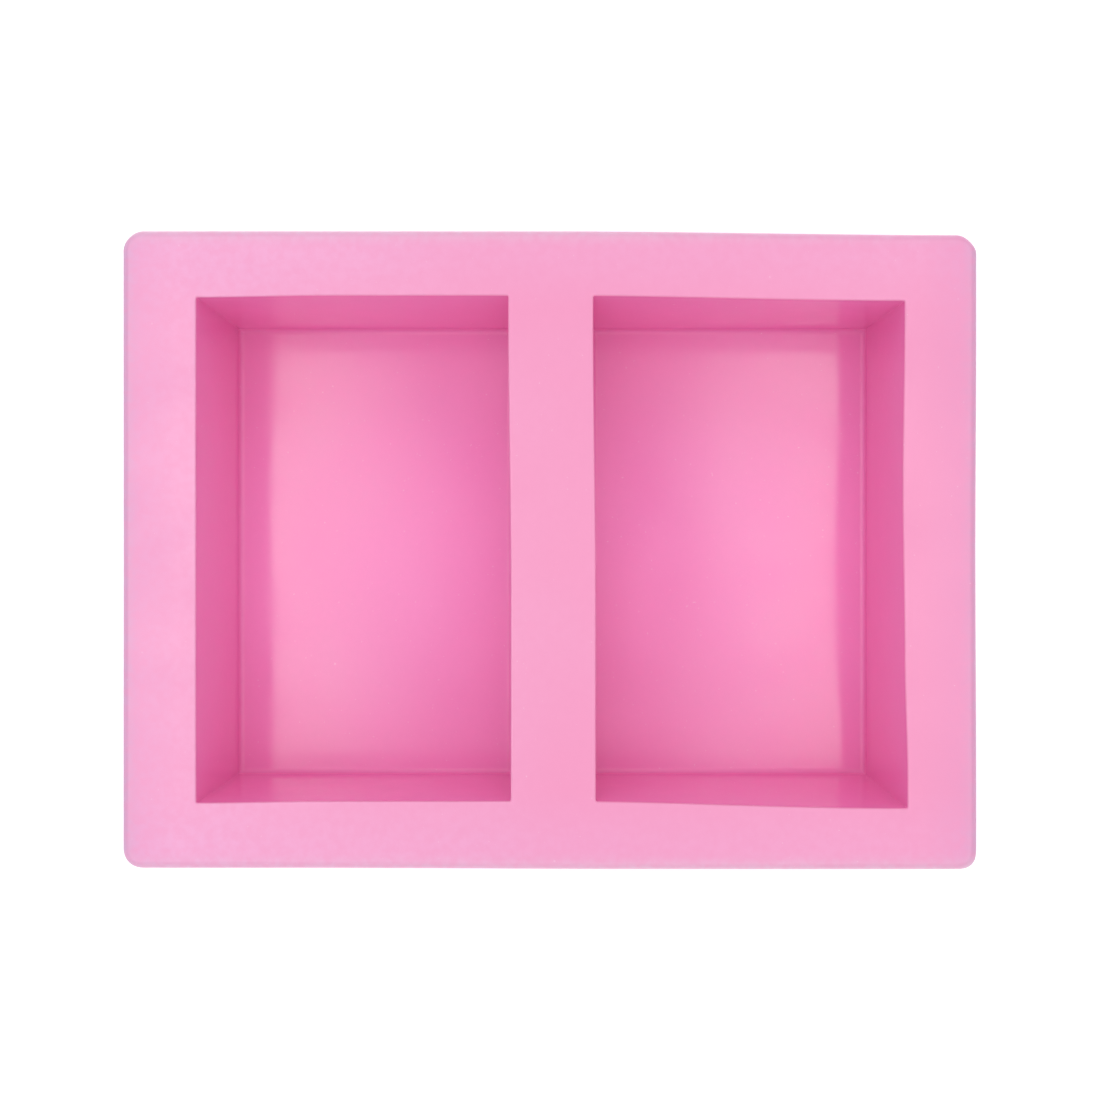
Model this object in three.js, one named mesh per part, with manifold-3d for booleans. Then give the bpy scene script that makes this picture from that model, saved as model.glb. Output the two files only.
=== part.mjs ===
// A two-cavity soap loaf mould in silicone rubber. Millimetres, +Z up.
// The origin is at the centre of the base, X runs across the two cavities and Y along them.
//
// The mould is one rubber moulding. It is modelled as the regions that the moulding has: the flat
// rim with its two mouths, the skirt round the outside, a cup under each mouth, and the webs that
// tie the cups to each other and to the skirt. All of them meet face to face.
import * as THREE from "three";
import { mergeVertices } from "three/addons/utils/BufferGeometryUtils.js";
import Module from "manifold-3d";

// Driving dimensions.
const MOUTH_WIDTH = 55; // a cavity's mouth, along X
const MOUTH_LENGTH = 89; // a cavity's mouth, along Y
const CAVITY_DEPTH = 30; // from the rim down to the cavity's floor
const DIVIDER = 15; // the rim between the two mouths
const SIDE_MARGIN = 13; // the rim outside the mouths, at the left and right
const END_MARGIN = 12; // the rim beyond the mouths, at the front and rear
const WALL = 3; // rubber thickness of the rim, cups and skirt
const CAVITY_DRAFT = 0.5; // how far each cavity wall leans in over the cavity's depth
const SKIRT_DRAFT = 0.5; // how far the skirt's outer face leans in over its height
const OUTER_RADIUS = 3.6; // the moulding's upright corners
const SKIRT_INNER_RADIUS = 1; // the upright corners inside the skirt
const MOUTH_RADIUS = 0.3; // the cavities' upright corners
const CUP_RADIUS = 3; // the cups' outer upright corners
const RIM_FILLET = 1.5; // the rim's top outer edge
const FLOOR_FILLET = 0.25; // where a cavity's walls meet its floor
const WEB_THICKNESS = 2;
const WEB_BOTTOM = 10; // height of the webs' lower edges
const CENTRE_WEB_SPACING = 30; // between neighbouring webs in the middle
const SIDE_WEB_SPACING = 50; // between the two webs at a side

// Worked out from them.
const LENGTH = 2 * (SIDE_MARGIN + MOUTH_WIDTH) + DIVIDER;
const WIDTH = MOUTH_LENGTH + 2 * END_MARGIN;
const HEIGHT = CAVITY_DEPTH + WALL;
const RIM_UNDERSIDE = HEIGHT - WALL;
const CAVITY_X = (DIVIDER + MOUTH_WIDTH) / 2; // from the middle to a cavity's centre
const CUP_WIDTH = MOUTH_WIDTH + 2 * WALL;
const CUP_LENGTH = MOUTH_LENGTH + 2 * WALL;
const CORNER_SEGMENTS = 8;
const FILLET_SEGMENTS = 4;
const CUT_MARGIN = 1; // how far a cutter runs past what it cuts

const wasm = await Module();
wasm.setup();

const rimRubber = new THREE.MeshStandardMaterial({ color: 0xf9aad2, roughness: 0.42, metalness: 0 });
const cavityRubber = new THREE.MeshStandardMaterial({ color: 0xf391bf, roughness: 0.22, metalness: 0 });
const skirtRubber = new THREE.MeshStandardMaterial({ color: 0xf7a4cd, roughness: 0.5, metalness: 0 });

// A geometry as a manifold-3d solid, for a cut.
function solidOf(geometry) {
  const triangles = geometry.index ? geometry.toNonIndexed() : geometry;
  const bare = new THREE.BufferGeometry();
  bare.setAttribute("position", triangles.getAttribute("position"));
  const merged = mergeVertices(bare, 1e-4);
  return new wasm.Manifold(
    new wasm.Mesh({
      numProp: 3,
      vertProperties: merged.attributes.position.array,
      triVerts: new Uint32Array(merged.index.array),
    }),
  );
}

// A manifold-3d solid as a flat-shaded geometry.
function geometryOf(solid) {
  const { vertProperties, triVerts } = solid.getMesh();
  const indexed = new THREE.BufferGeometry();
  indexed.setAttribute("position", new THREE.BufferAttribute(vertProperties, 3));
  indexed.setIndex(new THREE.BufferAttribute(triVerts, 1));
  const geometry = indexed.toNonIndexed();
  geometry.computeVertexNormals();
  return geometry;
}

// A rectangle centred on the origin, with rounded corners.
function roundedRectangle(width, length, radius) {
  const x = width / 2 - radius;
  const y = length / 2 - radius;
  const shape = new THREE.Shape();
  shape.absarc(x, y, radius, 0, Math.PI / 2);
  shape.absarc(-x, y, radius, Math.PI / 2, Math.PI);
  shape.absarc(-x, -y, radius, Math.PI, 1.5 * Math.PI);
  shape.absarc(x, -y, radius, 1.5 * Math.PI, 2 * Math.PI);
  shape.closePath();
  return shape;
}

// A rounded rectangle raised from one height to another.
function prism(width, length, radius, bottom, top) {
  const shape = roundedRectangle(width, length, radius);
  const settings = { depth: top - bottom, bevelEnabled: false, curveSegments: CORNER_SEGMENTS };
  return new THREE.ExtrudeGeometry(shape, settings).translate(0, 0, bottom);
}

// Moves every side of a prism inwards by slope for each millimetre below a height.
function leanIn(geometry, height, slope) {
  const position = geometry.getAttribute("position");
  for (let i = 0; i < position.count; i++) {
    const inset = (height - position.getZ(i)) * slope;
    position.setX(i, position.getX(i) - Math.sign(position.getX(i)) * inset);
    position.setY(i, position.getY(i) - Math.sign(position.getY(i)) * inset);
  }
  return geometry;
}

// The space that one cavity takes out of the rubber: drafted walls that round into the floor.
function cavitySpace(centreX) {
  const floor = HEIGHT - CAVITY_DEPTH;
  const shape = roundedRectangle(MOUTH_WIDTH, MOUTH_LENGTH, MOUTH_RADIUS);
  const geometry = new THREE.ExtrudeGeometry(shape, {
    depth: CAVITY_DEPTH + CUT_MARGIN,
    bevelEnabled: true,
    bevelThickness: FLOOR_FILLET,
    bevelSize: FLOOR_FILLET,
    bevelOffset: -FLOOR_FILLET,
    bevelSegments: FILLET_SEGMENTS,
    curveSegments: CORNER_SEGMENTS,
  });
  geometry.translate(0, 0, floor + FLOOR_FILLET);
  leanIn(geometry, HEIGHT, CAVITY_DRAFT / CAVITY_DEPTH);
  return solidOf(geometry.translate(centreX, 0, 0));
}

// The flat rim: a plate with rounded corners, a rounded top edge and the two mouths.
function makeRim() {
  const shape = roundedRectangle(LENGTH, WIDTH, OUTER_RADIUS);
  const geometry = new THREE.ExtrudeGeometry(shape, {
    depth: WALL - RIM_FILLET,
    bevelEnabled: true,
    bevelThickness: RIM_FILLET,
    bevelSize: RIM_FILLET,
    bevelOffset: -RIM_FILLET,
    bevelSegments: FILLET_SEGMENTS,
    curveSegments: CORNER_SEGMENTS,
  });
  const slab = new THREE.BoxGeometry(LENGTH, WIDTH, WALL).translate(0, 0, RIM_UNDERSIDE + WALL / 2);
  return geometryOf(
    solidOf(geometry.translate(0, 0, RIM_UNDERSIDE))
      .intersect(solidOf(slab))
      .subtract(cavitySpace(-CAVITY_X))
      .subtract(cavitySpace(CAVITY_X)),
  );
}

// The wall round the outside, which the mould stands on.
function makeSkirt() {
  const outside = prism(LENGTH, WIDTH, OUTER_RADIUS, 0, RIM_UNDERSIDE);
  leanIn(outside, RIM_UNDERSIDE, SKIRT_DRAFT / RIM_UNDERSIDE);
  const inside = prism(
    LENGTH - 2 * WALL,
    WIDTH - 2 * WALL,
    SKIRT_INNER_RADIUS,
    -CUT_MARGIN,
    RIM_UNDERSIDE + CUT_MARGIN,
  );
  return geometryOf(solidOf(outside).subtract(solidOf(inside)));
}

// A cup: the walls and floor that hold one bar of soap, below the rim.
function makeCup(centreX) {
  const outside = prism(CUP_WIDTH, CUP_LENGTH, CUP_RADIUS, 0, RIM_UNDERSIDE).translate(centreX, 0, 0);
  return geometryOf(solidOf(outside).subtract(cavitySpace(centreX)));
}

// A web hanging from the rim across a gap, between two points in plan.
function makeWeb(fromX, toX, fromY, toY) {
  const height = RIM_UNDERSIDE - WEB_BOTTOM;
  const geometry = new THREE.BoxGeometry(toX - fromX, toY - fromY, height);
  return geometry.translate((fromX + toX) / 2, (fromY + toY) / 2, WEB_BOTTOM + height / 2);
}

const mould = new THREE.Group();
mould.name = "soap_loaf_mould";

function add(name, geometry, material) {
  const mesh = new THREE.Mesh(geometry, material);
  mesh.name = name;
  mould.add(mesh);
}

add("rim", makeRim(), rimRubber);
add("outer_skirt", makeSkirt(), skirtRubber);
add("left_cup", makeCup(-CAVITY_X), cavityRubber);
add("right_cup", makeCup(CAVITY_X), cavityRubber);

// The faces that the webs run between.
const cupInner = CAVITY_X - CUP_WIDTH / 2;
const cupOuter = CAVITY_X + CUP_WIDTH / 2;
const cupEnd = CUP_LENGTH / 2;
const skirtSide = LENGTH / 2 - WALL;
const skirtEnd = WIDTH / 2 - WALL;
const half = WEB_THICKNESS / 2;

// Three webs between the cups.
["front", "middle", "rear"].forEach((place, i) => {
  const y = (i - 1) * CENTRE_WEB_SPACING;
  add("centre_web_" + place, makeWeb(-cupInner, cupInner, y - half, y + half), skirtRubber);
});

// Two webs from each cup to the skirt beside it.
["front", "rear"].forEach((place, i) => {
  const y = (i - 0.5) * SIDE_WEB_SPACING;
  add("left_web_" + place, makeWeb(-skirtSide, -cupOuter, y - half, y + half), skirtRubber);
  add("right_web_" + place, makeWeb(cupOuter, skirtSide, y - half, y + half), skirtRubber);
});

// One web from each end of each cup to the skirt beyond it.
["left", "right"].forEach((side, i) => {
  const x = (2 * i - 1) * CAVITY_X;
  add("front_web_" + side, makeWeb(x - half, x + half, -skirtEnd, -cupEnd), skirtRubber);
  add("rear_web_" + side, makeWeb(x - half, x + half, cupEnd, skirtEnd), skirtRubber);
});

export default mould;
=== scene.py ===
"""The looks of a pink silicone soap loaf mould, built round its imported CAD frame.

Metres, +Z up. X runs across the two cavities and Y along them. The mould is one rubber moulding, so
its pieces meet at creases that the moulding has, and one function bends all of them together.
"""

import math

import bmesh
import bpy
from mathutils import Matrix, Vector


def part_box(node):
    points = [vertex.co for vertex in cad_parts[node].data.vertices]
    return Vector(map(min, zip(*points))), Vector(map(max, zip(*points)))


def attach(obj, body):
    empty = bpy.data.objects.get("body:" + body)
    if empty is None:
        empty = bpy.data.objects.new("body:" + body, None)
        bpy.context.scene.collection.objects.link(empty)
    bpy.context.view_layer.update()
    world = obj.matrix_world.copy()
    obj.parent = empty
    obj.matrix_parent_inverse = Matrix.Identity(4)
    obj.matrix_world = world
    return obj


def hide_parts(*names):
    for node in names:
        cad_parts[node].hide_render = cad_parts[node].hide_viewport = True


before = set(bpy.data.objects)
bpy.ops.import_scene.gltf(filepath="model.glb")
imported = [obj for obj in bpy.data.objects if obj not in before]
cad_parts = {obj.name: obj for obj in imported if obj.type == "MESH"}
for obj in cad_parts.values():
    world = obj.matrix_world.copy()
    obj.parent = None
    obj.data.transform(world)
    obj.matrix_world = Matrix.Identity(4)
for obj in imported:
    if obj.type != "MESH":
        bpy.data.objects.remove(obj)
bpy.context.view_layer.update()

MM = 0.001

# Measures that the frame gives.
RIM_LOW, RIM_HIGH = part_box("rim")
CUP_LOW, CUP_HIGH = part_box("right_cup")
TOP = RIM_HIGH.z
RIM_UNDERSIDE = RIM_LOW.z
WALL = TOP - RIM_UNDERSIDE
HALF_LENGTH = RIM_HIGH.x
HALF_WIDTH = RIM_HIGH.y
CAVITY_X = (CUP_LOW.x + CUP_HIGH.x) / 2
MOUTH_HALF_X = (CUP_HIGH.x - CUP_LOW.x) / 2 - WALL
MOUTH_HALF_Y = (CUP_HIGH.y - CUP_LOW.y) / 2 - WALL
FLOOR = WALL  # the height of a cavity's floor

# Measures of the moulding that the frame's boxes don't give.
OUTER_RADIUS = 3.6 * MM  # the upright corners outside
SKIRT_INNER_RADIUS = 1.0 * MM
MOUTH_RADIUS = 0.3 * MM  # the mouths' corners
TIGHT_RADIUS = 0.05 * MM  # the cavities' upright corners, below their mouths
RIM_FILLET = 1.5 * MM  # the rim's top outer edge
LIP_FILLET = 0.3 * MM  # the edge round each mouth
FLOOR_FILLET = 1.0 * MM  # where a cavity's walls meet its floor
CAVITY_DRAFT = 0.5 * MM  # how far a cavity's wall leans in over its depth
SKIRT_DRAFT = 0.5 * MM
FLASH = 0.06 * MM  # how far the parting line stands proud of the outer face
FLASH_HALF_HEIGHT = 0.2 * MM
LINING = 1.5 * MM  # thickness of a cavity's lining where it passes through the rim
FOOT_RADIUS = 0.6 * MM  # the edges that the mould stands on
WEB_FLARE = 1.2 * MM  # how far a web widens where it meets a wall
WEB_ARCH = 2.0 * MM  # how far a web's lower edge rises in its middle

# How finely the surfaces are divided.
HALF_CORNER = 5  # steps from a corner's apex to the end of its zone
STEPS_X = 36
STEPS_Y = 56
FILLET_STEPS = 6
WALL_STEPS = 14
RIM_STEPS = 9
WEB_STATIONS = 16  # along a web
WEB_ROUND_STEPS = 8  # round its lower edge
WEB_HEIGHT_STEPS = 10  # up each of its sides
RIM_CROWDING = 1.5  # above 1, the rim's rows crowd towards the mouths
ARC_SLACK = 1.0001  # keeps rounding from dropping an arc's last point
MERGE_DISTANCE = 0.0005 * MM
SHARP_ANGLE = math.radians(35)

# A cavity's kinds of face, besides its polished inside, which is kind 0.
OUTSIDE, CREASE = 1, 2


# ---------------------------------------------------------------- rings and surfaces


def corner_points(corner, arriving, leaving, radius, zone):
    """Points round one corner, evenly spaced along its path, with the apex in the middle."""
    outward = (arriving - leaving).normalized()
    onward = (arriving + leaving).normalized()
    centre = corner + (leaving - arriving) * radius
    half_arc = math.pi * radius / 4
    reach = half_arc + zone - radius
    points = []
    for i in range(-HALF_CORNER, HALF_CORNER + 1):
        s = reach * i / HALF_CORNER
        if radius > 0 and abs(s) <= half_arc * ARC_SLACK:
            angle = s / radius
            points.append(centre + (outward * math.cos(angle) + onward * math.sin(angle)) * radius)
        elif s >= 0:
            points.append(corner + leaving * (radius + s - half_arc))
        else:
            points.append(corner - arriving * (radius - s - half_arc))
    return points


def ring(low, high, radii, zones, z):
    """Points anticlockwise round a rounded rectangle, from its front left corner's apex.

    radii and zones are for the front left, front right, rear right and rear left corners. A zone is
    the length of side, from the sharp corner, that the corner's points take up.
    """
    corners = [
        Vector((low[0], low[1])),
        Vector((high[0], low[1])),
        Vector((high[0], high[1])),
        Vector((low[0], high[1])),
    ]
    sides = [Vector((1, 0)), Vector((0, 1)), Vector((-1, 0)), Vector((0, -1))]
    turned = [
        corner_points(corners[k], sides[k - 1], sides[k], radii[k], zones[k]) for k in range(4)
    ]
    points = []
    for k in range(4):
        steps = (STEPS_X, STEPS_Y)[k % 2]
        first, last = turned[k][-1], turned[(k + 1) % 4][0]
        points += turned[k][HALF_CORNER:-1]
        points += [first.lerp(last, i / steps) for i in range(steps)]
        points += turned[(k + 1) % 4][:HALF_CORNER]
    return [Vector((p.x, p.y, z)) for p in points]


SIDE_X = STEPS_X + 2 * HALF_CORNER  # points along a ring's front or rear
SIDE_Y = STEPS_Y + 2 * HALF_CORNER
REAR_START = SIDE_X + SIDE_Y  # a ring's index of its rear right apex


class Surface:
    """Collects quads, then becomes one closed mesh object."""

    def __init__(self):
        self.verts = []
        self.faces = []
        self.kinds = []

    def strip(self, rows, closed=True, kind=0):
        """Quads between rows of points, each row a ring or, if not closed, a line."""
        count = len(rows[0])
        start = len(self.verts)
        for row in rows:
            self.verts += row
        for r in range(len(rows) - 1):
            for i in range(count if closed else count - 1):
                a, b = start + r * count + i, start + r * count + (i + 1) % count
                self.faces.append((a, b, b + count, a + count))
                self.kinds.append(kind)

    def patch(self, edge, kind=0):
        """Fills a ring with a grid of quads, each point set by the four sides (a Coons patch)."""
        front = edge[: SIDE_X + 1]
        right = edge[SIDE_X : REAR_START + 1]
        rear = edge[REAR_START : REAR_START + SIDE_X + 1][::-1]
        left = (edge[REAR_START + SIDE_X :] + edge[:1])[::-1]
        rows = []
        for j in range(SIDE_Y + 1):
            v = j / SIDE_Y
            row = []
            for i in range(SIDE_X + 1):
                u = i / SIDE_X
                across = left[j].lerp(right[j], u)
                along = front[i].lerp(rear[i], v)
                flat = front[0].lerp(front[-1], u).lerp(rear[0].lerp(rear[-1], u), v)
                row.append(across + along - flat)
            rows.append(row)
        self.strip(rows, closed=False, kind=kind)

    def mirrored(self):
        """Adds this surface's mirror image across X = 0."""
        start = len(self.verts)
        self.verts += [Vector((-v.x, v.y, v.z)) for v in self.verts]
        self.faces += [tuple(start + i for i in reversed(f)) for f in self.faces]
        self.kinds += self.kinds

    def piece(self, name, materials):
        """The finished object: welded, bent with the rest of the moulding, and smooth-shaded."""
        mesh = bpy.data.meshes.new(name)
        mesh.from_pydata(self.verts, [], self.faces)
        for polygon, kind in zip(mesh.polygons, self.kinds):
            polygon.material_index = kind
        bm = bmesh.new()
        bm.from_mesh(mesh)
        bmesh.ops.remove_doubles(bm, verts=bm.verts, dist=MERGE_DISTANCE)
        bmesh.ops.recalc_face_normals(bm, faces=bm.faces)
        for vert in bm.verts:
            vert.co = relaxed(vert.co)
        for face in bm.faces:
            face.smooth = True
        for edge in bm.edges:
            edge.smooth = edge.calc_face_angle(0) < SHARP_ANGLE
        bm.to_mesh(mesh)
        bm.free()
        obj = bpy.data.objects.new(name, mesh)
        bpy.context.scene.collection.objects.link(obj)
        for material in materials:
            mesh.materials.append(material)
        weighted = obj.modifiers.new("flat_faces_stay_flat", "WEIGHTED_NORMAL")
        weighted.keep_sharp = True
        return obj


def quarter_turn(steps=FILLET_STEPS):
    """(sine, cosine) pairs from 0 to 90 degrees."""
    angles = [math.pi / 2 * i / steps for i in range(steps + 1)]
    return [(math.sin(a), math.cos(a)) for a in angles]


# ---------------------------------------------------------------- the rubber's own irregularity

# Shifts are in mm. A span is the stretch of X or Y, in mm, that a shift builds up over, and a bow
# is the centre and half width of one.
DIVIDER_SPAN = (10, 50)
DIVIDER_SHIFT = 0.15
DIVIDER_LEAN, DIVIDER_LEAN_SPAN = 0.45, (-8, 42)
MOUTH_SIDE_SPAN = (30, 62)
LEFT_SIDE_SHIFT = 0.2
RIGHT_FLARE, RIGHT_FLARE_SPAN = 0.5, (-40, -18)
RIGHT_BOW_IN, RIGHT_BOW = 0.34, (12, 32)
ENDS_BACK, ENDS_BACK_SPAN = 0.3, (-62, -40)
REAR_EDGE_RUN, FRONT_EDGE_RUN, EDGE_RUN_SPAN = 0.9, 1.25, (0, 62)
SIDE_BOW_IN, SIDE_BOW = 0.14, (-1, 44)
REAR_DRAWN_IN, REAR_SPAN = 0.7, (0, 74)
FRONT_DRAWN_IN, FRONT_SPAN = 0.24, (-46, 14)
END_DIP, END_DIP_BOW = 0.1, (0, 62)
SIDE_DIP, SIDE_DIP_BOW = 0.08, (0, 48)
FLOOR_WAVE = 0.09
FLOOR_WAVE_LENGTHS = (10.5, 23.0, 15.0)
FLOOR_WAVE_LOW, FLOOR_WAVE_MARGIN = 1.5, 0.6


def smooth(low, high, x):
    """0 below low, 1 above high, and a smooth step between."""
    t = min(max((x - low) / (high - low), 0), 1)
    return t * t * (3 - 2 * t)


def hump(centre, half_width, x):
    """1 at a centre, falling smoothly to 0 at half_width either side."""
    return 1 - smooth(0, half_width, abs(x - centre))


def edge_shift(x, y):
    """How far the mouths' edges and the rim round them have crept from the ideal plan, in mm."""
    # Seen from above, the divider leans: its front end sits further right than its rear end.
    divider = 1 - smooth(*DIVIDER_SPAN, abs(x))
    dx = divider * (DIVIDER_SHIFT + DIVIDER_LEAN * (1 - smooth(*DIVIDER_LEAN_SPAN, y)))
    # The right mouth's outer side bows in at its middle and out at its front end.
    right = smooth(*MOUTH_SIDE_SPAN, x)
    flare = RIGHT_FLARE * (1 - smooth(*RIGHT_FLARE_SPAN, y))
    dx += right * (flare - RIGHT_BOW_IN * hump(*RIGHT_BOW, y))
    # The left mouth's outer side sits a little further in.
    dx += LEFT_SIDE_SHIFT * smooth(*MOUTH_SIDE_SPAN, -x)
    # The mouths' front and rear edges sit a little to the rear, except at the far left, and the
    # right mouth's run off towards the front.
    run = REAR_EDGE_RUN if y > 0 else FRONT_EDGE_RUN
    dy = ENDS_BACK * smooth(*ENDS_BACK_SPAN, x) - smooth(*EDGE_RUN_SPAN, x) * run
    return dx, dy


# The outer corners aren't equally round. How far each is drawn in along X and Y, in mm.
CORNER_DRAWN_IN = {(-1, 1): 0.12, (1, 1): 0.26, (-1, -1): -0.09, (1, -1): -0.35}


def relaxed(point):
    """Where a point of the regular moulding goes on the uneven one.

    The foot stays flat on the floor, and nothing moves outside the regular moulding's box.
    """
    x, y, z = point / MM
    height = smooth(0, TOP / MM, z)
    half_x, half_y = HALF_LENGTH / MM, HALF_WIDTH / MM
    mouth_x, mouth_y = (CAVITY_X + MOUTH_HALF_X) / MM, MOUTH_HALF_Y / MM
    side = smooth(mouth_x, half_x, abs(x))  # 0 at the mouths, 1 at the left and right sides
    end = smooth(mouth_y, half_y, abs(y))  # 0 at the mouths, 1 at the front and rear

    dx, dy = edge_shift(x, y)
    dx *= 1 - side
    dy *= (1 - end) * (1 - side)

    # The right side bows in, the rear runs forward to the right, and the front is drawn in to the left.
    if x > 0:
        dx -= side * SIDE_BOW_IN * hump(*SIDE_BOW, y)
    if y > 0:
        dy -= end * REAR_DRAWN_IN * smooth(*REAR_SPAN, x)
    else:
        dy += end * FRONT_DRAWN_IN * (1 - smooth(*FRONT_SPAN, x))
    for (turn_x, turn_y), drawn_in in CORNER_DRAWN_IN.items():
        off_corner = math.hypot(x - turn_x * half_x, y - turn_y * half_y)
        near_corner = 1 - smooth(0, OUTER_RADIUS / MM, off_corner)
        dx -= turn_x * drawn_in * near_corner
        dy -= turn_y * drawn_in * near_corner

    # The rim dips a little between its corners.
    dz = -END_DIP * hump(*END_DIP_BOW, x) * end - SIDE_DIP * hump(*SIDE_DIP_BOW, y) * side
    moved = Vector((x + dx * height, y + dy * height, z + dz * height))

    # The cavities' floors are gently uneven, and whatever is level with them moves too.
    if FLOOR_WAVE_LOW < z < FLOOR / MM + FLOOR_WAVE_MARGIN:
        across = abs(x) - CAVITY_X / MM
        along_y, along_x, from_centre = FLOOR_WAVE_LENGTHS
        wave = math.sin(y / along_y + x / along_x) * math.cos(across / from_centre)
        moved.z += FLOOR_WAVE * wave
    return moved * MM


# ---------------------------------------------------------------- pieces


def mouth_ring(side, offset, z, radius=None):
    """A ring round one mouth's edge, moved outwards by offset. side is -1 or 1.

    radius is its corners', which otherwise keep the centres of the mouth's corners.
    """
    low = (side * CAVITY_X - MOUTH_HALF_X - offset, -MOUTH_HALF_Y - offset)
    high = (side * CAVITY_X + MOUTH_HALF_X + offset, MOUTH_HALF_Y + offset)
    if radius is None:
        radius = max(MOUTH_RADIUS + offset, TIGHT_RADIUS)
    return ring(low, high, [radius] * 4, [radius] * 4, z)


def half_plate_ring(inset, z):
    """A ring round the left half of the mould's outline. Its right side is the line X = 0."""
    radius = OUTER_RADIUS - inset
    low = (-HALF_LENGTH + inset, -HALF_WIDTH + inset)
    high = (0, HALF_WIDTH - inset)
    zone = max(radius, OUTER_RADIUS)
    return ring(low, high, [radius, 0, 0, radius], [radius, zone, zone, radius], z)


def outline_ring(inset, radius, z):
    """A ring round the whole mould's outline, moved inwards by inset."""
    low = (-HALF_LENGTH + inset, -HALF_WIDTH + inset)
    high = (HALF_LENGTH - inset, HALF_WIDTH - inset)
    return ring(low, high, [radius] * 4, [radius] * 4, z)


def open_side(edge):
    """The part of a half plate's ring that isn't on X = 0."""
    return edge[REAR_START:] + edge[: SIDE_X + 1]


def plate_rows(inner, outer):
    """Rings from one ring to another, closer together near the first."""
    return [
        [a.lerp(b, (i / RIM_STEPS) ** RIM_CROWDING) for a, b in zip(inner, outer)]
        for i in range(RIM_STEPS + 1)
    ]


def make_rim(materials):
    """The flat rim with its two mouths. The cavities' linings pass through it."""
    rim = Surface()
    lip = [
        mouth_ring(-1, LIP_FILLET * (1 - c), TOP - LIP_FILLET * (1 - s)) for s, c in quarter_turn()
    ]
    rim.strip(lip)
    rim.strip(plate_rows(mouth_ring(-1, LIP_FILLET, TOP), half_plate_ring(RIM_FILLET, TOP)))
    fall = []
    for s, c in quarter_turn():
        inset = FLASH + (RIM_FILLET - FLASH) * (1 - s)
        fall.append(open_side(half_plate_ring(inset, TOP - RIM_FILLET * (1 - c))))
    flash = [
        open_side(half_plate_ring(FLASH, RIM_UNDERSIDE + FLASH_HALF_HEIGHT)),
        open_side(half_plate_ring(0, RIM_UNDERSIDE)),
    ]
    rim.strip(fall + flash, closed=False)
    ledge = TOP - LIP_FILLET
    rim.strip(
        [
            half_plate_ring(0, RIM_UNDERSIDE),
            mouth_ring(-1, LINING, RIM_UNDERSIDE),
            mouth_ring(-1, LINING, ledge),
            mouth_ring(-1, 0, ledge),
        ]
    )
    rim.mirrored()
    return rim.piece("rim_plate", materials)


def make_cavity(side, name, materials):
    """One cavity: its lining, walls and floor, and the cup round them."""
    cup = Surface()
    floor_offset = -CAVITY_DRAFT - FLOOR_FILLET
    high, low = TOP - LIP_FILLET, FLOOR + FLOOR_FILLET
    walls = []
    for i in range(WALL_STEPS + 1):
        z = high + (low - high) * i / WALL_STEPS
        inset = CAVITY_DRAFT * (TOP - z) / (TOP - FLOOR)
        walls.append(mouth_ring(side, -inset, z, TIGHT_RADIUS if i else None))
    foot = [
        mouth_ring(side, floor_offset + FLOOR_FILLET * c, FLOOR + FLOOR_FILLET * (1 - s))
        for s, c in quarter_turn()
    ]
    cup.strip(walls)
    cup.strip([walls[-1]] + foot[1:], kind=CREASE)
    cup.patch(foot[-1])
    under = [
        mouth_ring(side, WALL - FOOT_RADIUS * (1 - c), FOOT_RADIUS * (1 - s))
        for s, c in quarter_turn()
    ]
    cup.strip(
        [
            walls[0],
            mouth_ring(side, LINING, high),
            mouth_ring(side, LINING, RIM_UNDERSIDE),
            mouth_ring(side, WALL, RIM_UNDERSIDE),
        ],
        kind=OUTSIDE,
    )
    lower = [
        mouth_ring(side, WALL, RIM_UNDERSIDE + (FOOT_RADIUS - RIM_UNDERSIDE) * i / WALL_STEPS)
        for i in range(WALL_STEPS)
    ]
    cup.strip(lower + under, kind=OUTSIDE)
    cup.patch(under[-1], kind=OUTSIDE)
    return cup.piece(name, materials)


def make_skirt(materials):
    """The wall round the outside, from the parting line down to the edge it stands on."""
    skirt = Surface()
    rows = [outline_ring(0, OUTER_RADIUS, RIM_UNDERSIDE)]
    top = RIM_UNDERSIDE - FLASH_HALF_HEIGHT
    for i in range(WALL_STEPS + 1):
        z = top + (FOOT_RADIUS - top) * i / WALL_STEPS
        inset = FLASH + (SKIRT_DRAFT - FLASH) * (top - z) / top
        rows.append(outline_ring(inset, OUTER_RADIUS - inset, z))
    for s, c in quarter_turn()[1:]:
        inset = SKIRT_DRAFT + FOOT_RADIUS * (1 - c)
        rows.append(outline_ring(inset, OUTER_RADIUS - inset, FOOT_RADIUS * (1 - s)))
    for s, c in quarter_turn():
        inset = WALL - FOOT_RADIUS * (1 - s)
        radius = SKIRT_INNER_RADIUS + FOOT_RADIUS * (1 - s)
        rows.append(outline_ring(inset, radius, FOOT_RADIUS * (1 - c)))
    for i in range(1, WALL_STEPS + 1):
        z = FOOT_RADIUS + (RIM_UNDERSIDE - FOOT_RADIUS) * i / WALL_STEPS
        rows.append(outline_ring(WALL, SKIRT_INNER_RADIUS, z))
    skirt.strip(rows + rows[:1])
    return skirt.piece("skirt_wall", materials)


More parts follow.
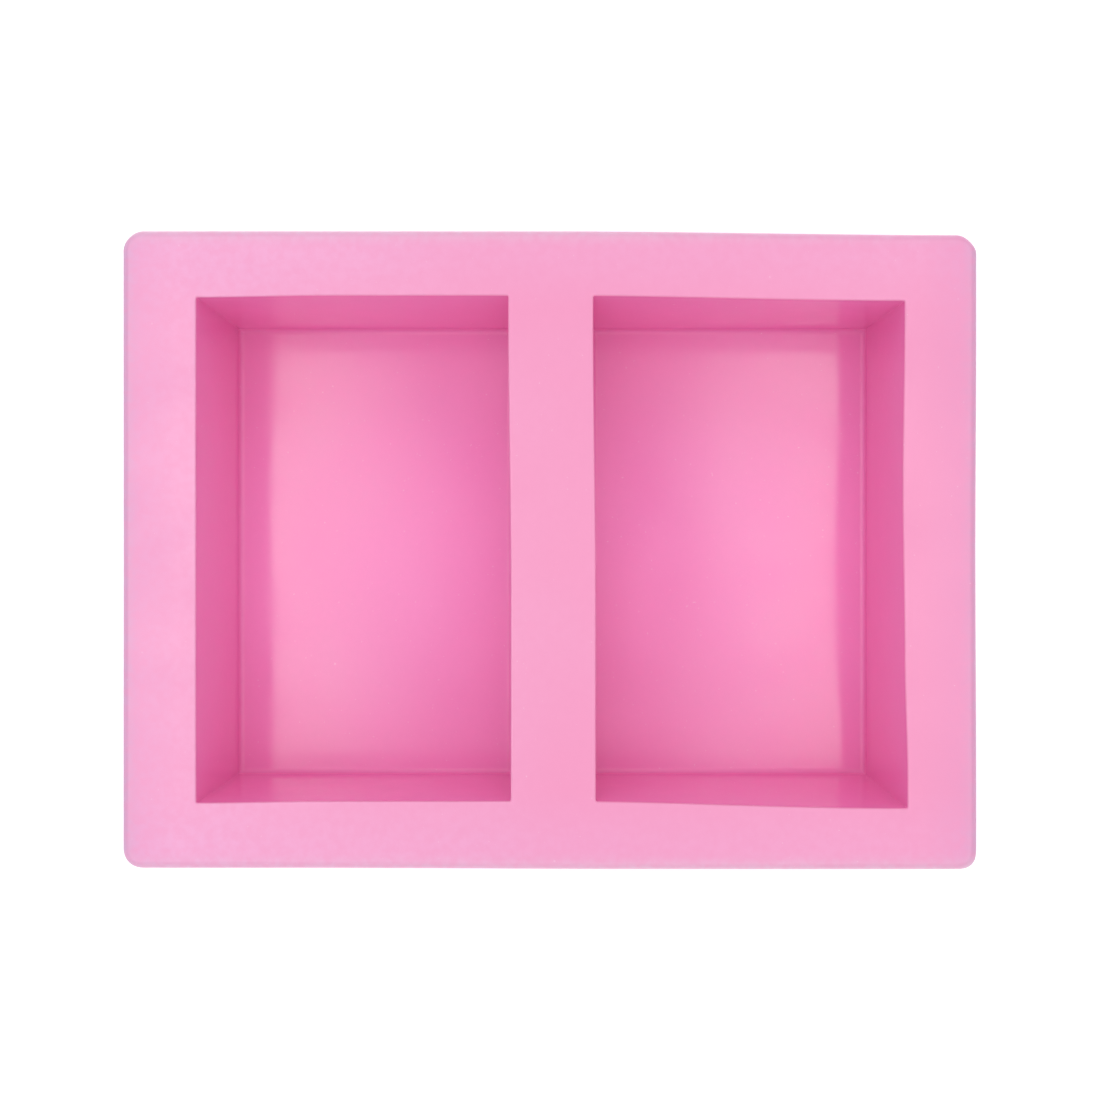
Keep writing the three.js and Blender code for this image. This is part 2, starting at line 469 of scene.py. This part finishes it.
def make_web(node, materials):
    """A web between two walls: flared where it meets them, with a round, arched lower edge."""
    low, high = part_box(node)
    spans_x = high.x - low.x > high.y - low.y
    start, end = (low.x, high.x) if spans_x else (low.y, high.y)
    across = (low.y + high.y) / 2 if spans_x else (low.x + high.x) / 2
    half = min(high.x - low.x, high.y - low.y) / 2
    length = end - start
    rows = []
    for k in range(WEB_STATIONS + 1):
        along = length * k / WEB_STATIONS
        gap = min(along, length - along)
        flare = WEB_FLARE * (1 - min(gap / WEB_FLARE, 1)) ** 2
        thick = half + flare
        bottom = low.z + WEB_ARCH * math.sin(math.pi * k / WEB_STATIONS) - flare
        drop = bottom + thick - high.z
        section = [
            (thick, high.z + drop * i / WEB_HEIGHT_STEPS) for i in range(WEB_HEIGHT_STEPS)
        ]
        for i in range(WEB_ROUND_STEPS + 1):
            angle = math.pi * i / WEB_ROUND_STEPS
            section.append((thick * math.cos(angle), bottom + thick - thick * math.sin(angle)))
        section += [(-offset, z) for offset, z in reversed(section[:WEB_HEIGHT_STEPS])]
        place = start + along
        rows.append(
            [
                Vector((place, across + offset, z)) if spans_x else Vector((across + offset, place, z))
                for offset, z in section
            ]
        )
    web = Surface()
    web.strip(rows)
    for row in (rows[0], rows[-1]):
        first = len(web.verts)
        web.verts += row
        web.faces.append(tuple(range(first, first + len(row))))
        web.kinds.append(0)
    return web.piece("moulded_" + node, materials)


# ---------------------------------------------------------------- materials


class Graph:
    """A short way to write shader nodes."""

    def __init__(self, tree):
        self.tree = tree

    def node(self, kind, inputs=None, **settings):
        made = self.tree.nodes.new(kind)
        for key, value in settings.items():
            setattr(made, key, value)
        for key, value in (inputs or {}).items():
            if isinstance(value, bpy.types.NodeSocket):
                self.tree.links.new(value, made.inputs[key])
            else:
                made.inputs[key].default_value = value
        return made

    def coordinates(self, kind="Object"):
        return self.node("ShaderNodeTexCoord").outputs[kind]

    def split(self, vector):
        """A vector's X, Y and Z sockets."""
        return self.node("ShaderNodeSeparateXYZ", {"Vector": vector}).outputs

    def math(self, operation, *values):
        made = self.node("ShaderNodeMath", dict(enumerate(values)), operation=operation)
        return made.outputs["Value"]

    def vector(self, operation, *values, result="Vector"):
        made = self.node("ShaderNodeVectorMath", dict(enumerate(values)), operation=operation)
        return made.outputs[result]

    def noise(self, size, detail=2.0, roughness=0.5):
        """Noise whose features are about size metres across."""
        inputs = {
            "Vector": self.coordinates(),
            "Scale": 1 / size,
            "Detail": detail,
            "Roughness": roughness,
        }
        return self.node("ShaderNodeTexNoise", inputs).outputs["Fac"]

    def ranged(self, value, low, high, to_low, to_high, **settings):
        """A value's place between low and high, as the same place between to_low and to_high."""
        inputs = {
            "Value": value,
            "From Min": low,
            "From Max": high,
            "To Min": to_low,
            "To Max": to_high,
        }
        return self.node("ShaderNodeMapRange", inputs, **settings).outputs["Result"]

    def mixed(self, factor, a, b):
        made = self.node("ShaderNodeMix", data_type="RGBA")
        for key, value in (("Factor", factor), ("A", a), ("B", b)):
            socket = next(s for s in made.inputs if s.name == key and s.enabled)
            if isinstance(value, bpy.types.NodeSocket):
                self.tree.links.new(value, socket)
            else:
                socket.default_value = value
        return next(s for s in made.outputs if s.enabled)

    def bump(self, height, distance, **more):
        return self.node("ShaderNodeBump", {"Height": height, "Distance": distance, **more}).outputs[0]

    def finish(self, shader):
        """Links a shader to the material's output."""
        output = self.node("ShaderNodeOutputMaterial")
        self.tree.links.new(shader.outputs[0], output.inputs["Surface"])


def new_material(name):
    """A material with no nodes yet, and its graph."""
    material = bpy.data.materials.new(name)
    material.use_nodes = True
    material.node_tree.nodes.clear()
    return material, Graph(material.node_tree)


RUBBER_IOR = 1.41
CLOUD_SIZE = 38 * MM  # how far apart the colour's broad clouds are
NOISE_MIDDLE = (0.35, 0.65)  # the part of a noise's range that the clouds and mottle spread over
MOTTLE_SIZE = 1.4 * MM
MOTTLE_SHADE = 0.97  # how dark the mottle is against the base colour
MOTTLE_AMOUNT = 0.35
SMUDGE_SIZE = 13 * MM  # patches of more and less gloss
SMUDGE_RANGE = (0.4, 0.7)
DUST_SIZE = 0.55 * MM
DUST_RANGE = (0.765, 0.8)  # only the noise's peaks, so that the specks are few
DUST_AMOUNT = 0.35
DUST_PALE = (0.956, 0.672, 0.775, 1)
RIPPLE_SIZE = 9 * MM
GRAIN_SIZE = 0.22 * MM


def silicone(name, colour, tint, roughness, grain, ripple, painted_light_and_shade=None):
    """Pigmented silicone rubber.

    colour drifts to tint in broad clouds. roughness is its lowest and highest value. grain is the
    height of the fine texture and ripple that of the slow waves in the surface. The last argument,
    if given, is a function that paints light and shade into the colour by place.
    """
    material, g = new_material(name)
    clouds = g.ranged(g.noise(CLOUD_SIZE, detail=3), *NOISE_MIDDLE, 0, 1)
    base = g.mixed(clouds, colour, tint)
    if painted_light_and_shade:
        base = painted_light_and_shade(g, base)
    mottle = g.ranged(g.noise(MOTTLE_SIZE, detail=3), *NOISE_MIDDLE, 0, MOTTLE_AMOUNT)
    base = g.mixed(mottle, base, tuple(c * MOTTLE_SHADE for c in colour[:3]) + (1,))
    dust = g.ranged(g.noise(DUST_SIZE, detail=1), *DUST_RANGE, 0, DUST_AMOUNT)
    base = g.mixed(dust, base, DUST_PALE)
    smudge_noise = g.noise(SMUDGE_SIZE, detail=4, roughness=0.6)
    smudges = g.ranged(smudge_noise, *SMUDGE_RANGE, *roughness)
    waves = g.bump(g.noise(RIPPLE_SIZE, detail=1), ripple)
    normal = g.bump(g.noise(GRAIN_SIZE, detail=3), grain, Normal=waves)
    inputs = {"Base Color": base, "Roughness": smudges, "Normal": normal, "IOR": RUBBER_IOR}
    g.finish(g.node("ShaderNodeBsdfPrincipled", inputs))
    return material


# The rim's tints: light and shade painted into its colour.
RIM_PAINTED_LIGHT = (0.9, 0.39, 0.645, 1)  # painted light: a paler, cooler lilac tint at the left and both ends
RIM_EDGE_PAINTED_SHADE = (0.63, 0.41, 0.575, 1)  # painted shade: a greyer, darker tint round the rounded outer edge
END_EDGE_PAINTED_REFLECTION = (0.8, 0.56, 0.68, 1)  # painted reflection: the paler tint that takes its place along the front and rear
END_EDGE_REFLECTION_REACH = (4 * MM, 0.5 * MM)  # where that begins and is complete, from either end
SIDE_SHADE = (0.65, 0.25, 0.5, 1)  # painted shade: a slightly darker tint along both sides
SIDE_SHADE_AMOUNT = 0.3  # how strong that is at the very side
SIDE_SHADE_REACH = 10 * MM  # how far in from either side it begins
PAINTED_LIGHT_DRIFT = 12 * MM  # how far the painted light's border wanders
DRIFT_SIZE = 30 * MM
DRIFT_RANGE = (0.3, 0.7)
LEFT_PAINTED_LIGHT = 0.45  # how strong the painted light is at the left side
LEFT_PAINTED_LIGHT_REACH = 62 * MM  # how far left of the middle it takes to reach that
END_PAINTED_LIGHT = 0.36  # how much the front and rear add to it
END_PAINTED_LIGHT_REACH = (14 * MM, 5 * MM)  # where that begins and is complete, from either end
EDGE_PAINT_REACH = 1.3 * MM  # the painted edge tint is down to a third this far in from the outline
PAINTED_TINT_FADE = (1.3 * MM, 2.3 * MM)  # heights over the parting line where it begins and is complete


def rim_painted_light_and_shade(g, base):
    """Painted light at the left and both ends, painted shade along the sides and round the edge, and a
    painted reflection at the front and rear.
    """
    place = g.coordinates()
    x, y, z = (g.split(place)[axis] for axis in "XYZ")
    # Painted light: paler and cooler towards the left and both ends.
    drift = g.ranged(g.noise(DRIFT_SIZE), *DRIFT_RANGE, -PAINTED_LIGHT_DRIFT, PAINTED_LIGHT_DRIFT)
    left = g.ranged(g.math("ADD", x, drift), 0, -LEFT_PAINTED_LIGHT_REACH, 0, LEFT_PAINTED_LIGHT)
    from_end = g.math("SUBTRACT", HALF_WIDTH, g.math("ABSOLUTE", y))
    end_painted_light = g.ranged(from_end, *END_PAINTED_LIGHT_REACH, 0, END_PAINTED_LIGHT)
    base = g.mixed(g.math("ADD", left, end_painted_light), base, RIM_PAINTED_LIGHT)

    # The distance in from the outline, which is rounded at its corners.
    flat = g.vector("ABSOLUTE", g.vector("MULTIPLY", place, (1, 1, 0)))
    centres = (HALF_LENGTH - OUTER_RADIUS, HALF_WIDTH - OUTER_RADIUS, 0)
    beyond = g.vector("MAXIMUM", g.vector("SUBTRACT", flat, centres), (0, 0, 0))
    inward = g.math("SUBTRACT", OUTER_RADIUS, g.vector("LENGTH", beyond, result="Value"))
    # Painted shade round the outer edge, with a painted reflection along the front and rear.
    edge_paint_mask = g.math("EXPONENT", g.math("DIVIDE", inward, -EDGE_PAINT_REACH))
    above = g.ranged(z, RIM_UNDERSIDE + PAINTED_TINT_FADE[0], RIM_UNDERSIDE + PAINTED_TINT_FADE[1], 0, 1)
    edge_shade_and_reflection = g.mixed(g.ranged(from_end, *END_EDGE_REFLECTION_REACH, 0, 1), RIM_EDGE_PAINTED_SHADE, END_EDGE_PAINTED_REFLECTION)
    # Painted shade along both sides.
    from_side = g.math("SUBTRACT", HALF_LENGTH, g.math("ABSOLUTE", x))
    shade = g.ranged(from_side, SIDE_SHADE_REACH, 0, 0, SIDE_SHADE_AMOUNT)
    base = g.mixed(g.math("MULTIPLY", shade, above), base, SIDE_SHADE)
    return g.mixed(g.math("MULTIPLY", edge_paint_mask, above), base, edge_shade_and_reflection)


RIM_PINK = (0.905, 0.3, 0.522, 1)
RIM_TINT = (0.91, 0.287, 0.507, 1)
# Painted shade: the cavities' colours are a darker, more saturated copy of the rim's rubber.
CAVITY_SHADED_PINK = (0.913, 0.261, 0.57, 1)
CAVITY_SHADED_TINT = (0.918, 0.251, 0.553, 1)
# Painted shade: darker still in the creases where the walls meet the floors.
CREASE_SHADED_PINK = (0.88, 0.238, 0.528, 1)
CREASE_SHADED_TINT = (0.885, 0.228, 0.513, 1)
SKIRT_PINK = (0.9, 0.32, 0.57, 1)
SKIRT_TINT = (0.905, 0.305, 0.555, 1)

rim_rubber = silicone(
    "rim_silicone", RIM_PINK, RIM_TINT, (0.38, 0.5), 0.004 * MM, 0.01 * MM, painted_light_and_shade=rim_painted_light_and_shade
)
cavity_rubber = silicone(
    "cavity_silicone", CAVITY_SHADED_PINK, CAVITY_SHADED_TINT, (0.1, 0.2), 0.0006 * MM, 0.004 * MM
)
# Duller than the rest of a cavity, because a glossy fillet would catch bright lines of light, and
# darker: painted shade in the creases.
crease_rubber = silicone(
    "crease_silicone", CREASE_SHADED_PINK, CREASE_SHADED_TINT, (0.42, 0.55), 0.004 * MM, 0.004 * MM
)
skirt_rubber = silicone(
    "skirt_silicone", SKIRT_PINK, SKIRT_TINT, (0.5, 0.62), 0.008 * MM, 0.012 * MM
)


# ---------------------------------------------------------------- the object


def settle(piece, slot, *nodes):
    """The piece rides on the mould's one body and stands for these CAD nodes."""
    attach(piece, "root")
    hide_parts(*nodes)


settle(make_rim([rim_rubber]), "rim_silicone", "rim")
settle(make_skirt([skirt_rubber]), "skirt_silicone", "outer_skirt")
for side, node in ((-1, "left_cup"), (1, "right_cup")):
    materials = [cavity_rubber, skirt_rubber, crease_rubber]  # in the order of the kinds of face
    cavity = make_cavity(side, node.replace("cup", "cavity"), materials)
    settle(cavity, "cavity_silicone", node)
for node in sorted(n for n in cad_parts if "web" in n):
    settle(make_web(node, [skirt_rubber]), "skirt_silicone", node)


# ---------------------------------------------------------------- the studio

CAMERA_PLACE = (3.9 * MM, -2.3 * MM, TOP + 234.4 * MM)
CAMERA_LENS = 43.6
CAMERA_SHIFT = (-0.02, 0.012)

LIGHT_HEIGHT = TOP + 500 * MM
SOFTBOX_X = 180 * MM
SOFTBOX_Y = 14 * MM
SOFTBOX_SIZE = (290 * MM, 420 * MM)
SOFTBOX_END_FADE = 0.3  # share of a softbox's length that fades out towards each end
# Name, side, power, colour, and the share of its width that fades out towards the camera.
SOFTBOXES = [
    ("left_softbox", -1, 2.2, (0.9, 1.0, 0.82), 0.48),
    ("right_softbox", 1, 1.9, (0.88, 1.0, 0.79), 0.32),
]
OVERHEAD_SIZE = (420 * MM, 420 * MM)
OVERHEAD_POWER = 0.92
PANEL_REACH = 480 * MM  # the side panels' distance from the mould, across and up
PANEL_SIZE = (300 * MM, 300 * MM)
# Name, direction in X and Y, power and colour.
PANELS = [
    ("left_panel", -1, 0, 0.2, (0.6, 0.8, 1.0)),
    ("rear_panel", 0, 1, 0.45, (1.0, 1.0, 1.0)),
    ("front_panel", 0, -1, 0.35, (1.0, 1.0, 1.0)),
]
WORLD_COLOUR = (0.95, 0.97, 1.0, 1)
WORLD_RISE = (-0.1, 0.75)  # sines of the elevations where the sky starts and stops brightening
WORLD_STRENGTH = (0.5, 0.92)  # below the first and above the second
FLOOR_HALF = 1.5
TENT_HEIGHT = 2.4
PAPER_WHITE = (0.93, 0.93, 0.93, 1)
PAPER_ROUGHNESS = 0.9
PAPER_GLOW = 0.3

camera_data = bpy.data.cameras.new("camera")
camera_data.lens = CAMERA_LENS
camera_data.shift_x, camera_data.shift_y = CAMERA_SHIFT
camera = bpy.data.objects.new("camera", camera_data)
camera.location = CAMERA_PLACE
bpy.context.scene.collection.objects.link(camera)
bpy.context.scene.camera = camera
bpy.context.scene.view_settings.view_transform = "Standard"


def area_light(name, place, size, power, colour):
    light = bpy.data.lights.new(name, "AREA")
    light.shape = "RECTANGLE"
    light.size, light.size_y = size
    light.energy = power
    light.color = colour
    lamp = bpy.data.objects.new(name, light)
    lamp.location = place
    bpy.context.scene.collection.objects.link(lamp)
    return lamp


def softbox(name, side, power, colour, inner_fade):
    """A softbox above the mould beside the camera. Its light fades towards the camera and its ends."""
    place = (side * SOFTBOX_X, SOFTBOX_Y, LIGHT_HEIGHT)
    lamp = area_light(name, place, SOFTBOX_SIZE, power, colour)
    lamp.data.use_nodes = True
    g = Graph(lamp.data.node_tree)
    across = g.split(g.node("ShaderNodeNewGeometry").outputs["Parametric"])
    inner = ("X", 1, 1 - inner_fade) if side < 0 else ("X", 0, inner_fade)
    strength = 1.0
    for axis, dark, bright in (inner, ("Y", 0, SOFTBOX_END_FADE), ("Y", 1, 1 - SOFTBOX_END_FADE)):
        fade = g.ranged(across[axis], dark, bright, 0, 1, interpolation_type="SMOOTHSTEP")
        strength = g.math("MULTIPLY", strength, fade)
    g.tree.links.new(strength, g.tree.nodes["Emission"].inputs["Strength"])
    return lamp


# The softboxes only show in the gloss, and the overhead only lights the rubber. The panels do both.
for softbox_settings in SOFTBOXES:
    softbox(*softbox_settings).visible_diffuse = False
overhead = area_light("overhead", (0, 0, LIGHT_HEIGHT), OVERHEAD_SIZE, OVERHEAD_POWER, (1, 1, 1))
overhead.visible_glossy = False
for name, x, y, power, colour in PANELS:
    place = Vector((x * PANEL_REACH, y * PANEL_REACH, TOP + PANEL_REACH))
    panel = area_light(name, place, PANEL_SIZE, power, colour)
    panel.rotation_euler = (-place).to_track_quat("-Z", "Y").to_euler()

# The sky is brighter overhead than round the sides.
world = bpy.data.worlds.new("studio")
world.use_nodes = True
sky = Graph(world.node_tree)
rise = sky.split(sky.coordinates("Generated"))["Z"]
background = sky.tree.nodes["Background"]
background.inputs["Color"].default_value = WORLD_COLOUR
sky.tree.links.new(sky.ranged(rise, *WORLD_RISE, *WORLD_STRENGTH), background.inputs["Strength"])
bpy.context.scene.world = world


def stage_mesh(name, verts, faces, material):
    """Part of the set, which isn't part of the mould."""
    mesh = bpy.data.meshes.new(name)
    mesh.from_pydata(verts, [], faces)
    mesh.materials.append(material)
    obj = bpy.data.objects.new(name, mesh)
    bpy.context.scene.collection.objects.link(obj)
    return obj


paper, g = new_material("white_paper")
paper_inputs = {
    "Base Color": PAPER_WHITE,
    "Roughness": PAPER_ROUGHNESS,
    "Emission Color": (1, 1, 1, 1),
    "Emission Strength": PAPER_GLOW,
}
g.finish(g.node("ShaderNodeBsdfPrincipled", paper_inputs))
base_corners = [(x * FLOOR_HALF, y * FLOOR_HALF) for x, y in ((-1, -1), (1, -1), (1, 1), (-1, 1))]
floor_corners = [(x, y, 0) for x, y in base_corners]
stage_mesh("floor", floor_corners, [(0, 1, 2, 3)], paper)

# A white tent round everything. It is only seen, and lights nothing.
white, g = new_material("white_backdrop")
g.finish(g.node("ShaderNodeEmission", {"Color": (1, 1, 1, 1), "Strength": 1.0}))
tent_sides = [(i, (i + 1) % 4, (i + 1) % 4 + 4, i + 4) for i in range(4)]
tent_corners = floor_corners + [(x, y, TENT_HEIGHT) for x, y in base_corners]
tent = stage_mesh("backdrop", tent_corners, tent_sides + [(4, 5, 6, 7)], white)
tent.visible_diffuse = False
tent.visible_glossy = False
tent.visible_shadow = False
